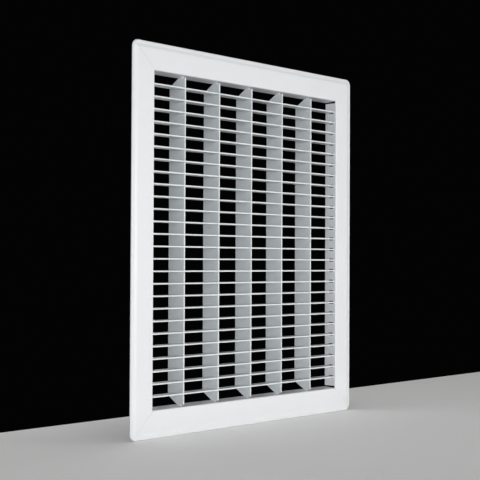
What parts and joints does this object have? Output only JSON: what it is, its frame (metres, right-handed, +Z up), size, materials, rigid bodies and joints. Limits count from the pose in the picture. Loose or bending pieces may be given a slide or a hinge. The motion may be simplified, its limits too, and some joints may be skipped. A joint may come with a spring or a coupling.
{
  "type": "louvred air grille",
  "caption": "White steel air grille: a mitred flange with a neck for the duct, fixed straight blades, and deep notched support bars behind them.",
  "frame": {"origin": "centre of the duct opening, in the plane of the wall or floor that the flange's rim rests on", "axes": "+X to the right seen from the room, +Y into the duct, +Z up along the longer side; the face looks along -Y"},
  "size_m": [0.3498, 0.0256, 0.401],
  "materials": {
    "frame_paint": "white powder coat, satin",
    "blade_paint": "white powder coat, satin",
    "bar_paint": "white powder coat, satin",
    "plate_paint": "white powder coat, thin at the back"
  },
  "bodies": {
    "root": {"frame_top": "frame_paint", "frame_bottom": "frame_paint", "frame_left": "frame_paint", "frame_right": "frame_paint", "blade_01": "blade_paint", "blade_02": "blade_paint", "blade_03": "blade_paint", "blade_04": "blade_paint", "blade_05": "blade_paint", "blade_06": "blade_paint", "blade_07": "blade_paint", "blade_08": "blade_paint", "blade_09": "blade_paint", "blade_10": "blade_paint", "blade_11": "blade_paint", "blade_12": "blade_paint", "blade_13": "blade_paint", "blade_14": "blade_paint", "blade_15": "blade_paint", "blade_16": "blade_paint", "blade_17": "blade_paint", "blade_18": "blade_paint", "blade_19": "blade_paint", "blade_20": "blade_paint", "blade_21": "blade_paint", "blade_22": "blade_paint", "blade_23": "blade_paint", "blade_24": "blade_paint", "blade_25": "blade_paint", "blade_26": "blade_paint", "support_bar_1": "bar_paint", "support_bar_2": "bar_paint", "support_bar_3": "bar_paint", "support_bar_4": "bar_paint", "support_bar_5": "bar_paint", "corner_plate_bottom_left": "plate_paint", "corner_plate_bottom_right": "plate_paint", "corner_plate_top_left": "plate_paint", "corner_plate_top_right": "plate_paint"}
  },
  "joints": []
}
